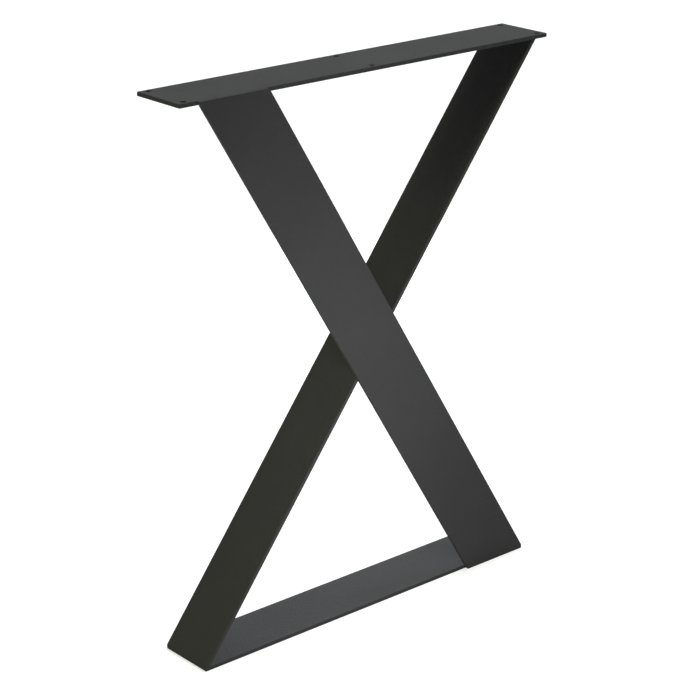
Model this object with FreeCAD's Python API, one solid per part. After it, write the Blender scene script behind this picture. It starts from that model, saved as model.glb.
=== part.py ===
import FreeCAD, Part
import math
import os

# X shaped table leg, cut from flat steel sheet and welded. Millimetres.
# X runs along the top plate, Y from the front bar to the back, Z up from the floor.
# The origin is on the floor, under the middle of the top plate.

# Driving dimensions
leg_height = 710.0
sheet = 5.0
strap_width = 80.0
foot_length = 540.0
plate_overhang = 20.0
bar_top_inset = 23.0
bar_end_width = 101.0
hole_diameter = 7.0
hole_end_inset = 11.0
hole_side_inset = 7.5
hole_break = 0.5
corner_radius = 1.0
edge_radius = 0.5
weld_leg = 4.0
weld_crown = 0.7
weld_end_gap = 10.0

# Levels and sides worked out from them
plate_underside = leg_height - sheet
foot_top = sheet
foot_half = foot_length / 2
plate_half = foot_half + plate_overhang
side = strap_width / 2
bar_back = -side
bar_front = bar_back - sheet

# Rounding of a sheet's rims, as far as its thickness and its corners allow
rim_radius = min(edge_radius, 0.4 * sheet, 0.8 * corner_radius)

# Front bar: level ends of equal width, and a toe that stands as high as the foot, flush with its end
bar_left_top = -plate_half + bar_top_inset
bar_right_top = bar_left_top + bar_end_width
bar_left_foot = foot_half - bar_end_width

# Rear strap: its outer face starts at the foot's upper left edge, and its inner face ends under the plate,
# straight above the foot's right end
strap_rise = plate_underside - foot_top
strap_angle = math.atan2(strap_rise, foot_length) + math.asin(sheet / math.hypot(foot_length, strap_rise))
strap_level_cut = sheet / math.sin(strap_angle)

UP_THE_STRAP = FreeCAD.Vector(math.cos(strap_angle), 0, math.sin(strap_angle))
OFF_THE_STRAP = FreeCAD.Vector(math.sin(strap_angle), 0, -math.cos(strap_angle))
ALONG = FreeCAD.Vector(1, 0, 0)
BACK = FreeCAD.Vector(0, 1, 0)
UP = FreeCAD.Vector(0, 0, 1)


def front_outline(points, y):
    """Return the flat face at depth y with the given corners (x, z)."""
    corners = [FreeCAD.Vector(x, y, z) for x, z in points]
    return Part.Face(Part.makePolygon(corners + corners[:1]))


def runs_along(edge, direction):
    """Say whether an edge is straight and runs along a direction."""
    return isinstance(edge.Curve, Part.Line) and edge.tangentAt(0).cross(direction).Length < 1e-6


def finished_sheet(blank, through):
    """Return a cut sheet with its corners rounded through the thickness, and then the rims of both faces."""
    corners = [edge for edge in blank.Edges if runs_along(edge, through)]
    cornered = blank.makeFillet(corner_radius, corners)
    rims = [edge for edge in cornered.Edges if not runs_along(edge, through)]
    return cornered.makeFillet(rim_radius, rims)


def level_blank(length, level):
    """Return a level sheet of the strap's width whose underside is at the given level."""
    return Part.makeBox(length, strap_width, sheet, FreeCAD.Vector(-length / 2, -side, level))


def screw_hole(x, y):
    """Return the space of one screw hole through the plate, with its rim broken on both faces."""
    radius = hole_diameter / 2
    section = [
        (0, plate_underside),
        (radius + hole_break, plate_underside),
        (radius, plate_underside + hole_break),
        (radius, leg_height - hole_break),
        (radius + hole_break, leg_height),
        (0, leg_height),
    ]
    outline = front_outline([(x + reach, level) for reach, level in section], y)
    return outline.revolve(FreeCAD.Vector(x, y, 0), UP, 360)


def top_plate():
    """Plate with a screw hole at each corner and at the middle of each long side."""
    plate = finished_sheet(level_blank(2 * plate_half, plate_underside), UP)
    hole_x = plate_half - hole_end_inset
    hole_y = side - hole_side_inset
    for x in (-hole_x, 0, hole_x):
        for y in (-hole_y, hole_y):
            plate = plate.cut(screw_hole(x, y))
    return plate


def foot_bar():
    """Bar that lies flat on the floor."""
    return finished_sheet(level_blank(foot_length, 0), UP)


def front_bar():
    """Slanting bar in the front plane, from the plate's top to the floor."""
    outline = front_outline([
        (bar_left_top, leg_height),
        (bar_left_foot, 0),
        (foot_half, 0),
        (foot_half, foot_top),
        (bar_right_top, leg_height),
    ], bar_front)
    return finished_sheet(outline.extrude(BACK * sheet), BACK)


def rear_strap():
    """Slanting strap across the depth, with ends cut level to sit on the foot and under the plate."""
    outline = front_outline([
        (-foot_half, foot_top),
        (-foot_half + strap_level_cut, foot_top),
        (foot_half, plate_underside),
        (foot_half - strap_level_cut, plate_underside),
    ], -side)
    blank = outline.extrude(BACK * strap_width)
    slanting = [edge for edge in blank.Edges if runs_along(edge, UP_THE_STRAP)]
    return blank.makeFillet(rim_radius, slanting)


def weld_run(start, end, along_one, along_other):
    """Return a weld bead in the corner that runs from start to end, with a leg on each of two faces."""
    one = start + along_one * weld_leg
    other = start + along_other * weld_leg
    outward = (along_one + along_other).normalize()
    crown = (one + other) * 0.5 + outward * weld_crown
    rim = [
        Part.makeLine(start, one),
        Part.Arc(one, crown, other).toShape(),
        Part.makeLine(other, start),
    ]
    return Part.Face(Part.Wire(rim)).extrude(end - start)


def bar_span(level):
    """Return the x of the front bar's left and right edges at a level."""
    down = leg_height - level
    left = bar_left_top + down * (bar_left_foot - bar_left_top) / leg_height
    right = bar_right_top + down * (foot_half - bar_right_top) / plate_underside
    return left, right


def behind_bar(x, level):
    """Return the point at x on the bar's back, at a level."""
    return FreeCAD.Vector(x, bar_back, level)


def weld_behind_bar(level, off_the_sheet):
    """Weld between the bar's back and a level sheet, on the sheet's face at the given level."""
    left, right = bar_span(level)
    start = behind_bar(left + weld_end_gap, level)
    end = behind_bar(min(right, foot_half) - weld_end_gap, level)
    return weld_run(start, end, BACK, off_the_sheet)


def weld_on_strap(x, level, along_strap):
    """Weld between the strap's inner face and a level sheet, across the depth."""
    start = FreeCAD.Vector(x, -side + weld_end_gap, level)
    end = FreeCAD.Vector(x, side - weld_end_gap, level)
    return weld_run(start, end, ALONG, along_strap)


def meet(foot_x, edge_low, edge_high):
    """Return where the strap face that starts at foot_x on the foot crosses an edge of the bar."""
    on_strap = behind_bar(foot_x, foot_top)
    edge = edge_high - edge_low
    across = FreeCAD.Vector(edge.z, 0, -edge.x)
    travel = (edge_low - on_strap).dot(across) / UP_THE_STRAP.dot(across)
    return on_strap + UP_THE_STRAP * travel


def weld_crossing():
    """Welds on both sides of the strap's front edge, where it lies on the bar's back."""
    left_edge = (behind_bar(bar_left_foot, 0), behind_bar(bar_left_top, leg_height))
    right_edge = (behind_bar(foot_half, foot_top), behind_bar(bar_right_top, leg_height))
    outer_face = (-foot_half, -OFF_THE_STRAP)
    inner_face = (-foot_half + strap_level_cut, OFF_THE_STRAP)
    runs = []
    for foot_x, off_the_strap in (outer_face, inner_face):
        start = meet(foot_x, *left_edge) + UP_THE_STRAP * weld_end_gap
        end = meet(foot_x, *right_edge) - UP_THE_STRAP * weld_end_gap
        runs.append(weld_run(start, end, off_the_strap, BACK))
    return Part.makeCompound(runs)


nodes = {
    "top_plate": top_plate(),
    "front_bar": front_bar(),
    "rear_strap": rear_strap(),
    "foot_bar": foot_bar(),
    "weld_plate_bar": weld_behind_bar(plate_underside, -UP),
    "weld_plate_strap": weld_on_strap(foot_half, plate_underside, -UP_THE_STRAP),
    "weld_crossing": weld_crossing(),
    "weld_foot_strap": weld_on_strap(-foot_half + strap_level_cut, foot_top, UP_THE_STRAP),
    "weld_foot_bar": weld_behind_bar(foot_top, UP),
}

os.makedirs("parts", exist_ok=True)
for name, shape in nodes.items():
    shape.exportStep("parts/" + name + ".step")
    print(name, "valid", shape.isValid(), "solids", len(shape.Solids), "volume", round(shape.Volume, 1))
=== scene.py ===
"""Looks of the X shaped table leg: powder coat on the steel, rippled weld beads, and a white studio."""
import math

import bpy
import numpy as np
from mathutils import Matrix, Vector


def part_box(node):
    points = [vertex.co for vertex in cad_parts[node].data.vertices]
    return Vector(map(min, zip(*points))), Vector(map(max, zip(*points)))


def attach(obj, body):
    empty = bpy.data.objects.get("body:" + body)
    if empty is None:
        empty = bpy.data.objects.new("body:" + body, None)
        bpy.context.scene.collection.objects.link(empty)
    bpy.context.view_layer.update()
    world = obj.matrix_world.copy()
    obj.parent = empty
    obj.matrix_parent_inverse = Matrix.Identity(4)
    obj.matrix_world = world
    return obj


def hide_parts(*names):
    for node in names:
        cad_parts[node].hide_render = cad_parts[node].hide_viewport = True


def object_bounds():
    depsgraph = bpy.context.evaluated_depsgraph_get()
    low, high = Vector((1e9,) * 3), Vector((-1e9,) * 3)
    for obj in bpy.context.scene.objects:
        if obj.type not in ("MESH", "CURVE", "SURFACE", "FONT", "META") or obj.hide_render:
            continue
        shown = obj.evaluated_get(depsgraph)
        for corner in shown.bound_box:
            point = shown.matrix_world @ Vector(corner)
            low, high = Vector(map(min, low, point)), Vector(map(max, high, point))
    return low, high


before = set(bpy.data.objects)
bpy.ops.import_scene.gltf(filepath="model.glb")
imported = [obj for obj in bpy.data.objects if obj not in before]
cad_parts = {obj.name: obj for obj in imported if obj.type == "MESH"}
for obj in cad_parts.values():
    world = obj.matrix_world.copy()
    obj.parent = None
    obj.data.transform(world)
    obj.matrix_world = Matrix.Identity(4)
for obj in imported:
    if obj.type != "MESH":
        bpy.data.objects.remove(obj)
cad_low, cad_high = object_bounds()

# The photograph's view, in degrees, metres and pixels of its square image
IMAGE_SIZE = 696
VIEW_AZIMUTH = -40.607
VIEW_ELEVATION = 19.903
VIEW_DISTANCE = 2.6724
VIEW_ASIDE = -0.0326
VIEW_RAISED = 0.0083
FOCAL_PIXELS = 2136.4
AXIS_PIXEL_X = 326.4
AXIS_PIXEL_Y = 333.1
SENSOR_MM = 36.0

# Powder coat, from its darkest to its lightest clouds
COAT_DARK = (0.047, 0.047, 0.047, 1.0)
COAT_LIGHT = (0.053, 0.053, 0.053, 1.0)
COAT_ROUGHNESS = (0.68, 0.76)
COAT_SPECULAR = 0.06

# Texture of the coat, with scales per metre and depths in metres
CLOUD_SCALE = 9.0
CLOUD_DETAIL = 4.0
CLOUD_RANGE = (0.35, 0.65)
PEEL_SCALE = 320.0
PEEL_DETAIL = 1.0
PEEL_STRENGTH = 0.6
PEEL_DEPTH = 0.0005
GRAIN_SCALE = 1500.0
GRAIN_DETAIL = 2.0
GRAIN_STRENGTH = 0.9
GRAIN_DEPTH = 0.0003

# Weld beads, in metres, with the lag in pitches and the sharp angle in degrees
BEAD_LEG = 0.004
BEAD_CROWN = 0.0005
BEAD_END = 0.004
BEAD_END_SHARE = 0.12
RIPPLE_PITCH = 0.0017
RIPPLE_HEIGHT = 0.00030
RIPPLE_LAG = 0.9
RIPPLE_POWER = 0.8
RING_STEP = 0.00019
RING_POINTS = 13
SHARP_ANGLE = 55.0

# Floor and surround
WHITE = (1.0, 1.0, 1.0)
FLOOR_SIZE = 30.0
FLOOR_COLOUR = (0.6, 0.6, 0.6, 1.0)
FLOOR_ROUGHNESS = 0.9
FLOOR_GLOW = 0.61
SURROUND_GLOW = 1.0

# Lamps, in degrees, metres and watts, with each left light's strength by its elevation
WARM_WHITE = (1.0, 1.0, 0.62)
COOL_WHITE = (0.91, 0.98, 1.0)
RIGHT_LIGHT = {"azimuth": 105, "elevation": 52, "spread": 45, "strength": 2.6, "colour": COOL_WHITE}
LEFT_LIGHT = {"azimuth": 270, "spread": 10, "colour": WARM_WHITE}
LEFT_STRENGTHS = {12: 0.11, 22: 0.36, 33: 0.14, 50: 0.36}
FOOT_LIGHT = {"width": 1.6, "height": 0.5, "power": 15.0, "colour": COOL_WHITE}
FOOT_LIGHT_AZIMUTH = 150
FOOT_LIGHT_ELEVATION = 2
FOOT_LIGHT_REACH = 1.6
FRONT_LIGHT = {"width": 0.36, "height": 0.36, "power": 1.82, "colour": WHITE}
FRONT_LIGHT_PLACE = Vector((-0.11, -0.44, 0.34))


def node_maker(owner):
    """Empties the node tree of a material or world. Returns it, and a function that adds a node to it.

    That function takes the node's kind, the values of its inputs by name or number, and its properties.
    """
    owner.use_nodes = True
    tree = owner.node_tree
    tree.nodes.clear()

    def add(kind, values=None, **properties):
        node = tree.nodes.new(kind)
        for name, value in properties.items():
            setattr(node, name, value)
        for socket, value in (values or {}).items():
            node.inputs[socket].default_value = value
        return node

    return tree, add


def powder_coat():
    """Matt anthracite powder coat: a faint cloudiness of colour and gloss, a soft peel and a fine grain."""
    material = bpy.data.materials.new("powder_coat")
    tree, add = node_maker(material)
    link = tree.links.new
    place = add("ShaderNodeTexCoord")

    def noise(scale, detail):
        texture = add("ShaderNodeTexNoise", {"Scale": scale, "Detail": detail})
        link(place.outputs["Object"], texture.inputs["Vector"])
        return texture.outputs["Fac"]

    def bump(height, strength, depth):
        node = add("ShaderNodeBump", {"Strength": strength, "Distance": depth})
        link(height, node.inputs["Height"])
        return node

    clouds = noise(CLOUD_SCALE, CLOUD_DETAIL)
    tone = add("ShaderNodeValToRGB")
    for step, limit, colour in zip(tone.color_ramp.elements, CLOUD_RANGE, (COAT_DARK, COAT_LIGHT)):
        step.position = limit
        step.color = colour
    link(clouds, tone.inputs["Fac"])

    gloss = add("ShaderNodeMapRange", {
        "From Min": CLOUD_RANGE[0],
        "From Max": CLOUD_RANGE[1],
        "To Min": COAT_ROUGHNESS[0],
        "To Max": COAT_ROUGHNESS[1],
    })
    link(clouds, gloss.inputs["Value"])

    peel = bump(noise(PEEL_SCALE, PEEL_DETAIL), PEEL_STRENGTH, PEEL_DEPTH)
    grain = bump(noise(GRAIN_SCALE, GRAIN_DETAIL), GRAIN_STRENGTH, GRAIN_DEPTH)
    link(peel.outputs["Normal"], grain.inputs["Normal"])

    shader = add("ShaderNodeBsdfPrincipled", {"Specular IOR Level": COAT_SPECULAR})
    link(tone.outputs["Color"], shader.inputs["Base Color"])
    link(gloss.outputs["Result"], shader.inputs["Roughness"])
    link(grain.outputs["Normal"], shader.inputs["Normal"])
    output = add("ShaderNodeOutputMaterial")
    link(shader.outputs["BSDF"], output.inputs["Surface"])
    return material


def strap_direction():
    """Unit vector up the rear strap: the slope of its box, turned by what the strap's own thickness adds."""
    low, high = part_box("rear_strap")
    foot_low, foot_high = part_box("foot_bar")
    run = high[0] - low[0]
    rise = high[2] - low[2]
    sheet = foot_high[2] - foot_low[2]
    angle = math.atan2(rise, run) + math.asin(sheet / math.hypot(run, rise))
    return np.array((math.cos(angle), 0.0, math.sin(angle)))


def node_points(name):
    """All vertices of a CAD node, as rows."""
    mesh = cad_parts[name].data
    points = np.empty(len(mesh.vertices) * 3)
    mesh.vertices.foreach_get("co", points)
    return points.reshape(-1, 3)


def corner_line(points, run, leg_one, leg_other):
    """Start and length of the corner that a weld fills.

    Each leg lies on a face that holds the run too, and no point of the weld is behind that face. The
    corner is where the two faces meet, cut by the planes square to the run at the weld's ends.
    """
    planes = []
    for leg, other in ((leg_one, leg_other), (leg_other, leg_one)):
        normal = np.cross(run, leg)
        planes.append(normal * np.sign(normal @ other))
    planes = np.array(planes + [run])
    distances = points @ planes.T
    nearest = distances.min(axis=0)
    start = np.linalg.solve(planes, nearest)
    length = distances[:, 2].max() - nearest[2]
    return start, length


def bead_rings(points, run, leg_one, leg_other):
    """Rings of a fillet weld in the corner that the points fill, each closed by the corner's own point.

    Across, a ring goes along the chord from the end of one leg to the end of the other, arched by a
    crown 4v(1 - v) at the share v of the way. Along, the crown gains ripples, a power of the absolute
    sine of the distance over the pitch, and they trail towards both legs by the square of the distance
    from the middle. Towards both ends the ring shrinks as a quarter ellipse, down to a small share.
    """
    start, length = corner_line(points, run, leg_one, leg_other)
    along = np.linspace(0.0, length, int(length / RING_STEP))[:, None]
    across = np.linspace(0.0, 1.0, RING_POINTS)[None, :]
    inward = np.clip(np.minimum(along, length - along) / BEAD_END, 0.0, 1.0)
    swell = np.maximum(np.sqrt(1.0 - (1.0 - inward) ** 2), BEAD_END_SHARE)
    arch = 4.0 * across * (1.0 - across)
    phase = along / RIPPLE_PITCH + RIPPLE_LAG * (2.0 * across - 1.0) ** 2
    ripple = np.abs(np.sin(math.pi * phase)) ** RIPPLE_POWER
    lift = swell * arch * (BEAD_CROWN + RIPPLE_HEIGHT * ripple)
    outward = leg_one + leg_other
    outward = outward / np.linalg.norm(outward)
    corner = start + along * run
    chord = (1.0 - across)[..., None] * leg_one + across[..., None] * leg_other
    skin = corner[:, None] + BEAD_LEG * swell[..., None] * chord + lift[..., None] * outward
    return np.concatenate([skin, corner[:, None]], axis=1)


def ring_faces(rings, first):
    """Quads between neighbouring rings and a cap on each end, turned so that the faces look outwards."""
    count, around = rings.shape[:2]
    numbers = first + np.arange(count * around).reshape(count, around)
    turned = np.roll(numbers, -1, axis=1)
    quads = np.stack([numbers[:-1], turned[:-1], turned[1:], numbers[1:]], axis=-1).reshape(-1, 4)
    faces = quads.tolist() + [numbers[0, ::-1].tolist(), numbers[-1].tolist()]
    ring = rings[count // 2]
    area = np.cross(ring, np.roll(ring, -1, axis=0)).sum(axis=0)
    if area @ (rings[-1, -1] - rings[0, -1]) < 0:
        faces = [face[::-1] for face in faces]
    return faces


def weld_piece(replaced, beads, coat):
    """One mesh of the given beads, in place of the weld's plain CAD node."""
    points = []
    faces = []
    for rings in beads:
        faces += ring_faces(rings, sum(len(block) for block in points))
        points.append(rings.reshape(-1, 3))
    name = replaced.replace("weld_", "bead_")
    mesh = bpy.data.meshes.new(name)
    mesh.from_pydata(np.concatenate(points).tolist(), [], faces)
    mesh.materials.append(coat)
    mesh.shade_smooth()
    mesh.set_sharp_from_angle(angle=math.radians(SHARP_ANGLE))
    piece = bpy.data.objects.new(name, mesh)
    bpy.context.scene.collection.objects.link(piece)
    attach(piece, "root")
    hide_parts(replaced)


def weld_beads(coat):
    """Rippled beads in every corner that the CAD welds fill, each given by its run and its two legs."""
    rightward = np.array((1.0, 0.0, 0.0))
    rearward = np.array((0.0, 1.0, 0.0))
    upward = np.array((0.0, 0.0, 1.0))
    up_strap = strap_direction()
    off_strap = np.cross(up_strap, rearward)
    corners = {
        "weld_plate_bar": (rightward, rearward, -upward),
        "weld_foot_bar": (rightward, rearward, upward),
        "weld_plate_strap": (rearward, rightward, -up_strap),
        "weld_foot_strap": (rearward, rightward, up_strap),
    }
    for node, corner in corners.items():
        weld_piece(node, [bead_rings(node_points(node), *corner)], coat)

    points = node_points("weld_crossing")
    height = points @ off_strap
    above = height > (height.min() + height.max()) / 2
    crossing = [
        bead_rings(points[above], up_strap, off_strap, rearward),
        bead_rings(points[~above], up_strap, -off_strap, rearward),
    ]
    weld_piece("weld_crossing", crossing, coat)


def seen_glow(tree, add, level):
    """Socket that gives the level to rays of sight, gloss and glass, and no light to other things."""
    rays = add("ShaderNodeLightPath")
    sight_or_gloss = add("ShaderNodeMath", operation="MAXIMUM")
    tree.links.new(rays.outputs["Is Camera Ray"], sight_or_gloss.inputs[0])
    tree.links.new(rays.outputs["Is Glossy Ray"], sight_or_gloss.inputs[1])
    any_sight = add("ShaderNodeMath", operation="MAXIMUM")
    tree.links.new(sight_or_gloss.outputs["Value"], any_sight.inputs[0])
    tree.links.new(rays.outputs["Is Transmission Ray"], any_sight.inputs[1])
    glow = add("ShaderNodeMath", {1: level}, operation="MULTIPLY")
    tree.links.new(any_sight.outputs["Value"], glow.inputs[0])
    return glow.outputs["Value"]


def studio_floor():
    """Pale floor that fills the view and keeps a shadow. A glow for sight alone makes it read as white."""
    half = FLOOR_SIZE / 2
    corners = [(-half, -half, 0), (half, -half, 0), (half, half, 0), (-half, half, 0)]
    mesh = bpy.data.meshes.new("floor")
    mesh.from_pydata(corners, [], [(0, 1, 2, 3)])
    floor = bpy.data.objects.new("floor", mesh)
    bpy.context.scene.collection.objects.link(floor)

    material = bpy.data.materials.new("studio_white")
    tree, add = node_maker(material)
    shader = add("ShaderNodeBsdfPrincipled", {
        "Base Color": FLOOR_COLOUR,
        "Roughness": FLOOR_ROUGHNESS,
        "Specular IOR Level": 0.0,
        "Emission Color": (*WHITE, 1.0),
    })
    tree.links.new(seen_glow(tree, add, FLOOR_GLOW), shader.inputs["Emission Strength"])
    output = add("ShaderNodeOutputMaterial")
    tree.links.new(shader.outputs["BSDF"], output.inputs["Surface"])
    mesh.materials.append(material)


def studio_surround():
    """White all round to sight and gloss, which puts no light of its own on the floor."""
    world = bpy.data.worlds.new("studio")
    tree, add = node_maker(world)
    background = add("ShaderNodeBackground", {"Color": (*WHITE, 1.0)})
    tree.links.new(seen_glow(tree, add, SURROUND_GLOW), background.inputs["Strength"])
    output = add("ShaderNodeOutputWorld")
    tree.links.new(background.outputs["Background"], output.inputs["Surface"])
    bpy.context.scene.world = world


def toward(azimuth, elevation):
    """Unit vector outwards: azimuth 0 is the front, 90 the right, and elevation is up from the floor."""
    turn = math.radians(azimuth)
    rise = math.radians(elevation)
    return Vector((math.sin(turn) * math.cos(rise), -math.cos(turn) * math.cos(rise), math.sin(rise)))


def leg_middle():
    """Middle of the leg's height, above the origin."""
    return Vector((0, 0, (cad_low.z + cad_high.z) / 2))


def hang(name, lamp, place, back):
    """Puts a lamp in the scene so that it shines away from the vector at its back. The eye sees past it."""
    holder = bpy.data.objects.new(name, lamp)
    holder.location = place
    holder.rotation_euler = (-back).to_track_quat("-Z", "Y").to_euler()
    holder.visible_camera = False
    bpy.context.scene.collection.objects.link(holder)


def far_light(name, azimuth, elevation, spread, strength, colour):
    """Light from far away, which falls evenly on the floor. A wider spread is softer."""
    lamp = bpy.data.lights.new(name, "SUN")
    lamp.angle = math.radians(spread)
    lamp.energy = strength
    lamp.color = colour
    back = toward(azimuth, elevation)
    hang(name, lamp, back, back)


def soft_box(name, place, width, height, power, colour):
    """Soft box at a place, turned to the leg's middle."""
    lamp = bpy.data.lights.new(name, "AREA")
    lamp.shape = "RECTANGLE"
    lamp.size = width
    lamp.size_y = height
    lamp.energy = power
    lamp.color = colour
    hang(name, lamp, place, place - leg_middle())


def studio_light():
    """Far lights: one on the right, a fan on the left. Soft boxes: one behind the foot, one in front."""
    far_light("right_light", **RIGHT_LIGHT)
    for elevation, strength in LEFT_STRENGTHS.items():
        far_light(f"left_light_{elevation}", elevation=elevation, strength=strength, **LEFT_LIGHT)
    behind = leg_middle() + FOOT_LIGHT_REACH * toward(FOOT_LIGHT_AZIMUTH, FOOT_LIGHT_ELEVATION)
    soft_box("foot_light", behind, **FOOT_LIGHT)
    soft_box("front_light", FRONT_LIGHT_PLACE, **FRONT_LIGHT)


def photo_camera():
    """Camera at the photograph's angle, placed from the leg's middle, with its frame shifted to match."""
    right = toward(VIEW_AZIMUTH + 90, 0)
    backward = toward(VIEW_AZIMUTH, VIEW_ELEVATION)
    upward = backward.cross(right)

    lens = bpy.data.cameras.new("photo_camera")
    lens.sensor_width = SENSOR_MM
    lens.lens = FOCAL_PIXELS / IMAGE_SIZE * SENSOR_MM
    lens.shift_x = 0.5 - AXIS_PIXEL_X / IMAGE_SIZE
    lens.shift_y = AXIS_PIXEL_Y / IMAGE_SIZE - 0.5
    camera = bpy.data.objects.new("photo_camera", lens)
    place = leg_middle() + right * VIEW_ASIDE + upward * VIEW_RAISED + backward * VIEW_DISTANCE
    turn = Matrix((right, upward, backward)).transposed()
    camera.matrix_world = Matrix.Translation(place) @ turn.to_4x4()
    bpy.context.scene.collection.objects.link(camera)
    bpy.context.scene.camera = camera


coat = powder_coat()
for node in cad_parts.values():
    node.data.materials.clear()
    node.data.materials.append(coat)
weld_beads(coat)

studio_floor()
studio_surround()
studio_light()
photo_camera()
bpy.context.scene.view_settings.view_transform = "Standard"
